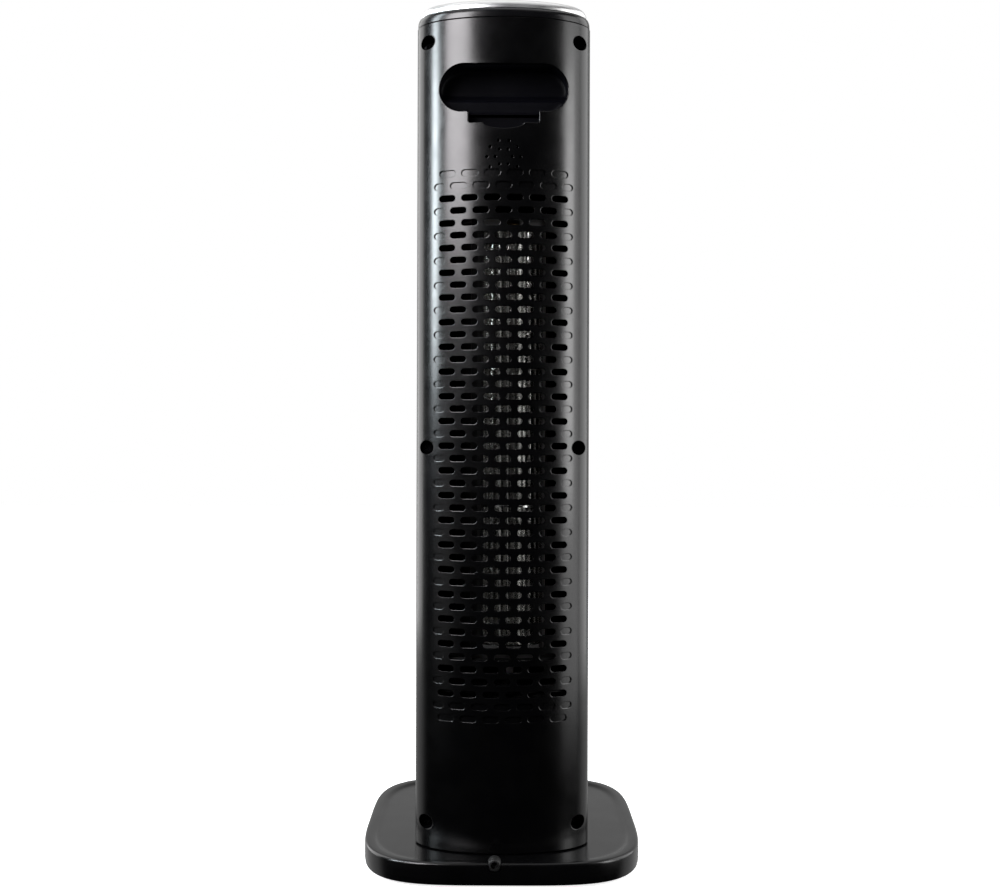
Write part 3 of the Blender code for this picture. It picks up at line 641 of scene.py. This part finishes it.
def panel_plate():
    outer = [(x, y) for x, y in outline(0.0113)]
    rim_pts = [(x, y) for x, y in outline(0.0119)]
    loops = [rim_pts]
    for _, bx in BUTTONS:
        loops.append([(bx + 0.0063 * math.cos(2 * math.pi * i / 40), BY + 0.0063 * math.sin(2 * math.pi * i / 40)) for i in range(40)])
    wx, wy0, wy1, r = lens_hi.x + 0.0003, lens_lo.y - 0.0003, lens_hi.y + 0.0003, 0.0012
    loops.append(arc(wx - r, wy0 + r, r, -90, 0, 5) + arc(wx - r, wy1 - r, r, 0, 90, 5)
                 + arc(-wx + r, wy1 - r, r, 90, 180, 5) + arc(-wx + r, wy0 + r, r, 180, 270, 5))
    coords, edges, ids = [], [], []
    for pts in loops:
        start = len(coords)
        coords += [Vector(p) for p in pts]
        edges += [(start + i, start + (i + 1) % len(pts)) for i in range(len(pts))]
        ids.append((start, len(pts)))
    ov, _, of, orig, _, _ = delaunay_2d_cdt(coords, edges, [], 1, 1e-7, True)
    where = {s: k for k, sources in enumerate(orig) for s in sources}
    owner = {}
    for h, (start, count) in enumerate(ids):
        for i in range(count):
            owner[where[start + i]] = h
    verts, faces = [], []
    top, bottom = panel_hi.z, panel_lo.z

    def layer(z, flip):
        base = len(verts)
        verts.extend((co.x, co.y, z) for co in ov)
        for f in of:
            hs = {owner.get(i, -1) for i in f}
            if len(hs) == 1 and 0 not in hs:
                continue
            faces.append([base + i for i in (f[::-1] if flip else f)])
        return base

    t, b = layer(top, False), layer(bottom, True)
    for h, (start, count) in enumerate(ids):
        up = [t + where[start + i] for i in range(count)]
        dn = [b + where[start + i] for i in range(count)]
        if h == 0:
            mid_u, mid_d = [], []
            for x, y in outer:
                verts.append((x, y, top - 0.0005)); mid_u.append(len(verts) - 1)
            for x, y in outer:
                verts.append((x, y, bottom)); mid_d.append(len(verts) - 1)
            chain = [up, mid_u, mid_d, dn]
        else:
            chain = [up, dn]
        for one, two in zip(chain, chain[1:]):
            for i in range(count):
                j = (i + 1) % count
                quad = [one[i], two[i], two[j], one[j]]
                faces.append(quad)
    bm = bmesh.new()
    bv = [bm.verts.new(v) for v in verts]
    for f in faces:
        bm.faces.new([bv[i] for i in f])
    return from_bmesh("control_panel_plate", bm, M["panel"], "column", ("control_panel",), 30.0)


panel_plate()
bm = bmesh.new()
bmesh.ops.create_cube(bm, size=1.0, matrix=Matrix.Translation((lens_lo + lens_hi) / 2) @ Matrix.Diagonal((*(lens_hi - lens_lo), 1)))
bmesh.ops.bevel(bm, geom=list(bm.edges), offset=0.0008, segments=3, profile=0.5, affect="EDGES")
from_bmesh("display_lens_smoked", bm, M["lens"], "column", ("display_lens",), 30.0)

for name, bx in BUTTONS:
    lo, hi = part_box(name)
    cap_z = hi.z
    prof = [(0.0, cap_z - 0.0003), (0.0020, cap_z - 0.00026), (0.0038, cap_z - 0.0001), (0.0048, cap_z)]
    prof += [(0.0052 + 0.0008 * math.sin(math.radians(a)), cap_z - 0.0008 + 0.0008 * math.cos(math.radians(a))) for a in (0, 22, 45, 67, 90)]
    prof += [(0.0060, 0.6591), (0.0072, 0.6591), (0.0072, 0.6574), (0.0, 0.6574)]
    spun(name + "_cap", prof, (bx, BY, 0), M["panel"], name + "_body", (name,), 48)


def mark(name, body, shapes):
    """Plain pictograms: bars and arcs lying on the cap, 0.08 mm proud."""
    bm = bmesh.new()
    for outline_pts, z in shapes:
        base = [bm.verts.new((x, y, z - 0.0002)) for x, y in outline_pts]
        f = bm.faces.new(base)
        grown = bmesh.ops.extrude_face_region(bm, geom=[f], use_keep_orig=True)
        bmesh.ops.translate(bm, vec=(0, 0, 0.00028), verts=[g for g in grown["geom"] if isinstance(g, bmesh.types.BMVert)])
    from_bmesh(name, bm, M["mark"], body, (), 30.0)


def arc_band(cx, cy, r, w, a0, a1, steps=20):
    outer = arc(cx, cy, r + w / 2, a0, a1, steps)
    inner = arc(cx, cy, r - w / 2, a1, a0, steps)
    return outer + inner


def bar(cx, cy, lx, ly, turn=0.0):
    c, s = math.cos(math.radians(turn)), math.sin(math.radians(turn))
    return [(cx + c * x - s * y, cy + s * x + c * y) for x, y in ((-lx / 2, -ly / 2), (lx / 2, -ly / 2), (lx / 2, ly / 2), (-lx / 2, ly / 2))]


ztop = by[1].z - 0.00018
W = 0.0004
marks = {
    "button_power": [arc_band(0, 0, 0.0019, W, -235, 55), bar(0, -0.0017, W, 0.0020)],
    "button_speed": [arc_band(0, 0, 0.0006, 0.0005, 0, 350, 16)] + [arc_band(0.0011 * math.cos(math.radians(a)), 0.0011 * math.sin(math.radians(a)), 0.0009, W, a - 60, a + 110, 10) for a in (90, 210, 330)],
    "button_mode": [bar(0, 0.0012, 0.0030, W), bar(0, 0, 0.0030, W), bar(0, -0.0012, 0.0030, W)],
    "button_timer": [arc_band(0, 0, 0.0019, W, 0, 358, 30), bar(0, -0.0006, W, 0.0012), bar(0.0004, 0, 0.0008, W)],
    "button_swing": [arc_band(0, 0.0010, 0.0024, W, -150, -30), bar(-0.0019, -0.0002, 0.0011, W, 75), bar(0.0019, -0.0002, 0.0011, W, -75)],
}
for name, bx in BUTTONS:
    mark(name + "_mark", name + "_body", [([(bx + x, BY + y) for x, y in pts], ztop) for pts in marks[name]])

# ------------------------------------------------------------------ impeller
imp_lo, imp_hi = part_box("impeller")
IR = (imp_hi.x - imp_lo.x) / 2
levels = (imp_lo.z, 0.279, 0.386, imp_hi.z - 0.0015)
bm = bmesh.new()


def add_disc(z0, z1, r_out, r_in=0.0, steps=60):
    rows = []
    for r, z in ((r_out, z0), (r_out, z1)) if r_in == 0 else ((r_out, z0), (r_out, z1), (r_in, z1), (r_in, z0)):
        rows.append([bm.verts.new((IMPX + r * math.cos(2 * math.pi * i / steps), IMPY + r * math.sin(2 * math.pi * i / steps), z)) for i in range(steps)])
    pairs = list(zip(rows, rows[1:])) + ([(rows[-1], rows[0])] if r_in else [])
    for one, two in pairs:
        for i in range(steps):
            j = (i + 1) % steps
            bm.faces.new((one[i], one[j], two[j], two[i]))
    if not r_in:
        bm.faces.new(rows[0][::-1])
        bm.faces.new(rows[1])


for z in levels:
    add_disc(z, z + 0.0015, IR)
add_disc(levels[0] + 0.0015, 0.1890, 0.0075, 0.0033, 32)
add_disc(0.4790, levels[3], 0.0065, 0.0028, 28)
BL = 24
for zone_i in range(3):
    zlo, zhi = levels[zone_i] + 0.0015, levels[zone_i + 1]
    for i in range(BL):
        a = 2 * math.pi * i / BL
        outer_line, inner_line = [], []
        for k in range(6):
            s = k / 5
            r = 0.0202 + 0.0045 * s
            bend = math.radians(8.5 * s + 3.0 * math.sin(math.pi * s))
            c = Vector((math.cos(a + bend), math.sin(a + bend)))
            side = Vector((-c.y, c.x))
            outer_line.append(c * r + side * 0.00028)
            inner_line.append(c * r - side * 0.00028)
        ringp = outer_line + inner_line[::-1]
        lowv = [bm.verts.new((IMPX + p.x, IMPY + p.y, zlo)) for p in ringp]
        highv = [bm.verts.new((IMPX + p.x, IMPY + p.y, zhi)) for p in ringp]
        for k in range(len(ringp)):
            j = (k + 1) % len(ringp)
            bm.faces.new((lowv[k], lowv[j], highv[j], highv[k]))
from_bmesh("impeller_drum", bm, M["blade"], "impeller_body", ("impeller",), 35.0)

# ---------------------------------------------------------------------- base
BHX, BHY = base_hi.x, base_hi.y
CY = (base_lo.y + base_hi.y) / 2


def squircle(inset, count=144):
    pts = []
    for i in range(count):
        a = 2 * math.pi * i / count
        c, s = math.cos(a), math.sin(a)
        # a power-4 superellipse, one point per even step of angle
        k = (abs(c) ** 4 + abs(s) ** 4) ** -0.25
        pts.append(((BHX - inset) * k * c, CY + (BHY - inset) * k * s))
    return pts


gx = (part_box("cord_gland")[0].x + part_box("cord_gland")[1].x) / 2
gz = (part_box("cord_gland")[0].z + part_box("cord_gland")[1].z) / 2
TOP = base_hi.z
base_profile = [(0.0040, 0.0022), (0.0006, 0.0022), (0.0002, 0.0026), (0.0000, 0.0040), (0.0000, 0.0090), (0.0001, TOP - 0.0024)]
base_profile += [(0.0001 + 0.0024 * (1 - math.cos(math.radians(a))), TOP - 0.0024 + 0.0024 * math.sin(math.radians(a))) for a in (15, 30, 45, 60, 75, 90)]
base_profile += [(0.0045, TOP), (0.0062, TOP - 0.00005), (0.0074, TOP - 0.0003), (0.0084, TOP - 0.0008), (0.0093, TOP - 0.0014), (0.0103, TOP - 0.0018), (0.0116, TOP - 0.0020), (0.0135, TOP - 0.0020)]


def base_caps(bm, loops):
    inner = loops[-1]
    hole = [bm.verts.new((0.0125 * math.cos(2 * math.pi * i / 32), AXY + 0.0125 * math.sin(2 * math.pi * i / 32), TOP - 0.0020)) for i in range(32)]
    edges = [bm.edges.get((inner[i], inner[(i + 1) % len(inner)])) for i in range(len(inner))]
    edges += [bm.edges.new((hole[i], hole[(i + 1) % 32])) for i in range(32)]
    bmesh.ops.triangle_fill(bm, edges=edges, use_beauty=True)


def build_base():
    bm = bmesh.new()
    loops = [[bm.verts.new((x, y, z)) for x, y in squircle(inset)] for inset, z in base_profile]
    count = len(loops[0])
    for one, two in zip(loops, loops[1:]):
        for i in range(count):
            j = (i + 1) % count
            bm.faces.new((one[i], one[j], two[j], two[i]))
    base_caps(bm, loops)
    bmesh.ops.recalc_face_normals(bm, faces=bm.faces)
    up = sum(f.normal.z * f.calc_area() for f in bm.faces if f.calc_center_median().z > TOP - 0.0021)
    if up < 0:
        bmesh.ops.reverse_faces(bm, faces=bm.faces)
    bm.verts.index_update()
    verts = [v.co.copy() for v in bm.verts]
    faces = [[v.index for v in f.verts] for f in bm.faces]
    bm.free()
    mesh = bpy.data.meshes.new("base_shell")
    mesh.from_pydata([tuple(v) for v in verts], [], faces)
    ob = bpy.data.objects.new("base_shell", mesh)
    bpy.context.scene.collection.objects.link(ob)
    mod = ob.modifiers.new("solid", "SOLIDIFY")
    mod.thickness = 0.0020
    mod.offset = -1.0
    cut = bmesh.new()
    bmesh.ops.create_cone(cut, cap_ends=True, segments=40, radius1=0.0052, radius2=0.0052, depth=0.030,
                          matrix=Matrix.Translation((gx, BHY, gz)) @ Matrix.Rotation(math.pi / 2, 4, "X"))
    cm = bpy.data.meshes.new("gland_cutter")
    cut.to_mesh(cm)
    cut.free()
    cutter = bpy.data.objects.new("gland_cutter", cm)
    bpy.context.scene.collection.objects.link(cutter)
    boo = ob.modifiers.new("gland", "BOOLEAN")
    boo.object = cutter
    boo.operation = "DIFFERENCE"
    boo.solver = "EXACT"
    bpy.context.view_layer.update()
    done = bpy.data.meshes.new_from_object(ob.evaluated_get(bpy.context.evaluated_depsgraph_get()))
    bpy.data.objects.remove(ob)
    bpy.data.objects.remove(cutter)
    out = bpy.data.objects.new("base_cover_moulding", done)
    bpy.context.scene.collection.objects.link(out)
    done.materials.clear()
    done.materials.append(M["base"])
    done.shade_smooth()
    done.set_sharp_from_angle(angle=math.radians(32))
    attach(out, "base")
    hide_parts("base_cover")
    return out


build_base()
glo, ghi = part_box("cord_gland")
gl = ghi.y - glo.y
g_prof = [(0.0028, gl), (0.0036, gl), (0.0043, gl - 0.0003), (0.0047, gl - 0.0009), (0.0049, gl - 0.0018), (0.0049, gl - 0.0026),
          (0.0044, gl - 0.0029), (0.0044, gl - 0.0036), (0.0049, gl - 0.0039), (0.0049, 0.0), (0.0028, 0.0)]
spun("cord_gland_bushing", g_prof, (gx, glo.y, gz), M["rubber"], "base", ("cord_gland",), 40, "Y")
for i in range(1, 5):
    lo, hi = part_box(f"foot_{i}")
    spun(f"foot_{i}_pad", [(0.0, 0.0017), (0.0086, 0.0017), (0.0090, 0.0013), (0.0090, 0.0006), (0.0088, 0.0002), (0.0082, 0.0),
                           (0.0072, 0.0), (0.0068, 0.0003), (0.0, 0.0003)],
         ((lo.x + hi.x) / 2, (lo.y + hi.y) / 2, 0), M["rubber"], "base", (f"foot_{i}",), 40)


# ------------------------------------------------------------------- screws
def screw(name, node, at, axis, head_r, head_h, shank_r, length, body):
    """Pan head with a cross recess; the head's top is at height 0, along the axis towards the driver."""
    bm = bmesh.new()
    n = 48
    arm, w, deep = head_r * 0.62, head_r * 0.17, head_h * 0.75
    cross = [(arm, -w), (arm, w), (w * 1.25, w * 1.25), (w, arm), (-w, arm), (-w * 1.25, w * 1.25), (-arm, w), (-arm, -w),
             (-w * 1.25, -w * 1.25), (-w, -arm), (w, -arm), (w * 1.25, -w * 1.25)]
    rim = [(head_r * 0.72 * math.cos(2 * math.pi * i / n), head_r * 0.72 * math.sin(2 * math.pi * i / n)) for i in range(n)]
    top = [bm.verts.new((x, y, 0)) for x, y in rim]
    cr = [bm.verts.new((x, y, 0)) for x, y in cross]
    edges = [bm.edges.new((top[i], top[(i + 1) % n])) for i in range(n)]
    edges += [bm.edges.new((cr[i], cr[(i + 1) % 12])) for i in range(12)]
    bmesh.ops.triangle_fill(bm, edges=edges, use_beauty=True)
    low = [bm.verts.new((x * 0.55, y * 0.55, -deep)) for x, y in cross]
    for i in range(12):
        j = (i + 1) % 12
        bm.faces.new((cr[i], cr[j], low[j], low[i]))
    bm.faces.new(low)
    last = top
    prof = [(head_r * 0.90, -head_h * 0.16), (head_r, -head_h * 0.5), (head_r, -head_h), (shank_r, -head_h), (shank_r, -length + shank_r),
            (0.0004, -length)]
    for r, z in prof:
        new = [bm.verts.new((r * math.cos(2 * math.pi * i / n), r * math.sin(2 * math.pi * i / n), z)) for i in range(n)]
        for i in range(n):
            j = (i + 1) % n
            bm.faces.new((last[i], last[j], new[j], new[i]))
        last = new
    bm.faces.new(last)
    turn = {"Y": Matrix.Rotation(-math.pi / 2, 4, "X"), "-Z": Matrix.Rotation(math.pi, 4, "X")}[axis]
    bmesh.ops.transform(bm, matrix=Matrix.Translation(Vector(at)) @ turn @ Matrix.Rotation(0.5, 4, "Z"), verts=bm.verts)
    from_bmesh(name, bm, M["screw"], body, (node,), 35.0)


for i in range(1, 7):
    lo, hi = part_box(f"casing_screw_{i}")
    screw(f"casing_screw_{i}_head", f"casing_screw_{i}", ((lo.x + hi.x) / 2, hi.y, (lo.z + hi.z) / 2), "Y", 0.0040, 0.0024, 0.0016,
          hi.y - lo.y, "column")
for i in range(1, 5):
    lo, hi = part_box(f"base_screw_{i}")
    screw(f"base_screw_{i}_head", f"base_screw_{i}", ((lo.x + hi.x) / 2, (lo.y + hi.y) / 2, lo.z), "-Z", 0.0030, 0.0012, 0.0012,
          hi.z - lo.z, "base")

# ------------------------------------------------------ duct ends and flanges
def duct_end(name, node, z_lo, z_hi, flange_lo, flange_hi, hole_r):
    """The plate that closes the duct, with a flange that blanks the outlet beyond it."""
    bm = bmesh.new()
    n = 64
    ring = outline(0.0042, n // 2)
    hole = [(IMPX + hole_r * math.cos(2 * math.pi * i / n), IMPY + hole_r * math.sin(2 * math.pi * i / n)) for i in range(n)]
    loops = [[bm.verts.new((x, y, z)) for x, y in pts] for pts, z in
             ((hole, z_lo), (ring, z_lo), (ring, z_hi), (hole, z_hi))]
    for one, two in zip(loops, loops[1:] + loops[:1]):
        for i in range(n):
            j = (i + 1) % n
            bm.faces.new((one[i], one[j], two[j], two[i]))
    wall_pts = [(x, y) for x, y in ((0.0355 * math.sin(math.radians(t)), AXY - 0.0485 * math.cos(math.radians(t * 0.42)))
                                    for t in range(-90, 91, 10))]
    back_pts = [(x, y + 0.0014) for x, y in wall_pts]
    outline_pts = wall_pts + back_pts[::-1]
    a = [bm.verts.new((x, y, flange_lo)) for x, y in outline_pts]
    b = [bm.verts.new((x, y, flange_hi)) for x, y in outline_pts]
    m = len(outline_pts)
    for i in range(m):
        j = (i + 1) % m
        bm.faces.new((a[i], a[j], b[j], b[i]))
    half = m // 2
    for k in range(half - 1):
        for side in (a, b):
            bm.faces.new((side[k], side[k + 1], side[m - 2 - k], side[m - 1 - k]))
    from_bmesh(name, bm, M["deep"], "column", (node,), 30.0)


up_lo, up_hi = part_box("upper_end_plate")
dn_lo, dn_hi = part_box("lower_end_plate")
duct_end("duct_top_plate", "upper_end_plate", up_lo.z, up_hi.z, up_hi.z - 0.0005, OZ1 + 0.0030, 0.0062)
duct_end("duct_floor_plate", "lower_end_plate", dn_lo.z, dn_hi.z, OZ0 + 0.0100, dn_lo.z + 0.0005, 0.0108)

scroll_lo, scroll_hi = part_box("scroll_housing")
line = []
for i in range(33):
    t = i / 32
    a = math.radians(36.0 - 82.8 * t)
    r = 0.0272 * (0.0577 / 0.0272) ** t
    line.append((IMPX + r * math.cos(a), IMPY + r * math.sin(a)))
line = [(line[0][0] + 0.0085, line[0][1] + 0.0062), (line[0][0] + 0.0040, line[0][1] + 0.0056),
        (line[0][0] + 0.0012, line[0][1] + 0.0034)] + line
left, right = [], []
for i, p in enumerate(line):
    q0, q1 = Vector(line[max(i - 1, 0)]), Vector(line[min(i + 1, len(line) - 1)])
    d = (q1 - q0).normalized()
    side = Vector((-d.y, d.x)) * 0.0007
    left.append((p[0] + side.x, p[1] + side.y))
    right.append((p[0] - side.x, p[1] - side.y))
bm = bmesh.new()
ringp = left + right[::-1]
a = [bm.verts.new((x, y, scroll_lo.z)) for x, y in ringp]
b = [bm.verts.new((x, y, scroll_hi.z)) for x, y in ringp]
m = len(ringp)
for i in range(m):
    j = (i + 1) % m
    bm.faces.new((a[i], a[j], b[j], b[i]))
for k in range(m // 2 - 1):
    for side in (a, b):
        bm.faces.new((side[k], side[k + 1], side[m - 2 - k], side[m - 1 - k]))
from_bmesh("scroll_guide", bm, M["deep"], "column", ("scroll_housing",), 30.0)

# ------------------------------------------------ materials on the CAD nodes
kept = {
    "remote_dock": "inner", "buzzer": "inner", "tongue_plate": "deep", "bearing_bush": "bronze", "fan_motor": "deep", "motor_plate": "deep",
    "motor_capacitor": "capacitor", "power_board": "board", "control_board": "board", "swing_motor": "steel",
    "column_floor": "deep", "pivot_bush": "bronze", "pivot_post": "acetal", "swivel_washer": "acetal", "fixed_gear": "acetal",
    "swing_pinion": "acetal", "pinion_shaft": "steel", "motor_shaft": "steel", "impeller_stub": "steel", "base_plate": "steel",
    "base_weight": "iron",
}
for node, key in kept.items():
    mesh = frame["nodes"][node].data
    mesh.materials.clear()
    mesh.materials.append(M[key])

# --------------------------------------------------------------------- stage
scene = bpy.context.scene
scene.view_settings.view_transform = "Standard"


def plane(name, size_x, size_y, at, turn=(0, 0, 0)):
    mesh = bpy.data.meshes.new(name)
    x, y = size_x / 2, size_y / 2
    mesh.from_pydata([(-x, -y, 0), (x, -y, 0), (x, y, 0), (-x, y, 0)], [], [(0, 1, 2, 3)])
    ob = bpy.data.objects.new(name, mesh)
    ob.location = at
    ob.rotation_euler = turn
    scene.collection.objects.link(ob)
    return ob


floor = plane("floor", 10.0, 10.0, (0, 0, -0.0002))
pale = moulded("floor_pale", (0.88, 0.88, 0.88), (0.91, 0.91, 0.91), 0.85, 0.03, grain_depth=0.00001, specular=0.1)
pale.node_tree.nodes["Principled BSDF"].inputs["Emission Color"].default_value = (1, 1, 1, 1)
pale.node_tree.nodes["Principled BSDF"].inputs["Emission Strength"].default_value = 0.80
floor.data.materials.append(pale)
floor.visible_glossy = False
floor.visible_diffuse = False
floor.visible_shadow = False

# pale studio behind the fan, unlit room on the side of the slotted face
world = bpy.data.worlds.new("studio")
scene.world = world
world.use_nodes = True
n, l = world.node_tree.nodes, world.node_tree.links
out = n["World Output"]
room = n["Background"]
room.inputs["Strength"].default_value = 1.0
sky = n.new("ShaderNodeTexCoord")
split = n.new("ShaderNodeSeparateXYZ")
l.new(sky.outputs["Generated"], split.inputs["Vector"])
fade = n.new("ShaderNodeMapRange")
fade.interpolation_type = "SMOOTHSTEP"
fade.inputs["From Min"].default_value = 0.10
fade.inputs["From Max"].default_value = -0.30
fade.inputs["To Min"].default_value = 0.0
fade.inputs["To Max"].default_value = 0.50
l.new(split.outputs["Y"], fade.inputs["Value"])
l.new(fade.outputs["Result"], room.inputs["Color"])
clear = n.new("ShaderNodeBackground")
clear.inputs["Color"].default_value = (1, 1, 1, 1)
clear.inputs["Strength"].default_value = 1.0
ray = n.new("ShaderNodeLightPath")
pick = n.new("ShaderNodeMixShader")
l.new(ray.outputs["Is Camera Ray"], pick.inputs["Fac"])
l.new(room.outputs["Background"], pick.inputs[1])
l.new(clear.outputs["Background"], pick.inputs[2])
l.new(pick.outputs["Shader"], out.inputs["Surface"])


def softbox(name, angle, dist, z, width, height, radiance, colour=(1, 1, 1), aim=None):
    """A panel facing the column; angle is from +Y towards +X."""
    light = bpy.data.lights.new(name, "AREA")
    light.shape = "RECTANGLE"
    light.size, light.size_y = width, height
    light.energy = radiance * math.pi * width * height
    light.color = colour
    ob = bpy.data.objects.new(name, light)
    a = math.radians(angle)
    at = Vector((dist * math.sin(a), AXY + dist * math.cos(a), z))
    ob.location = at
    to = Vector(aim or (0, AXY, z)) - at
    ob.rotation_euler = to.to_track_quat("-Z", "Y").to_euler()
    ob.visible_camera = False
    scene.collection.objects.link(ob)
    return ob


softbox("strip_left", 68.5, 1.12, 1.10, 0.22, 1.34, 17.5, (0.86, 0.95, 1.0))
softbox("strip_left_core", 68.5, 1.08, 0.72, 0.20, 0.42, 16.0, (0.88, 0.96, 1.0))
softbox("soft_left", 38.5, 1.3, 1.27, 0.56, 1.18, 14.5, (1.0, 0.975, 1.0))
softbox("low_left", 55, 1.2, 0.22, 0.60, 0.50, 0.30)
softbox("side_left", 122, 1.2, 0.90, 0.90, 1.80, 2.3)
softbox("soft_right", -70, 1.12, 0.70, 0.66, 1.60, 2.4)
softbox("strip_right", -65, 1.05, 0.56, 0.28, 0.66, 6.5)
softbox("side_right", -108, 1.1, 0.75, 0.75, 1.60, 2.0)
softbox("overhead", 0, 0.001, 1.9, 1.4, 1.4, 0.85, aim=(0, AXY, 0))

cam_data = bpy.data.cameras.new("camera")
cam_data.sensor_width = 36.0
cam_data.lens = 45.9
cam_data.shift_y = -0.0075
camera = bpy.data.objects.new("camera", cam_data)
camera.location = (0.00215, AXY + 1.0, 0.334)
look = Matrix.Rotation(math.pi, 3, "Z") @ Matrix.Rotation(math.pi / 2, 3, "X") @ Matrix.Rotation(math.radians(0.17), 3, "Z")
camera.rotation_euler = look.to_euler()
scene.collection.objects.link(camera)
scene.camera = camera
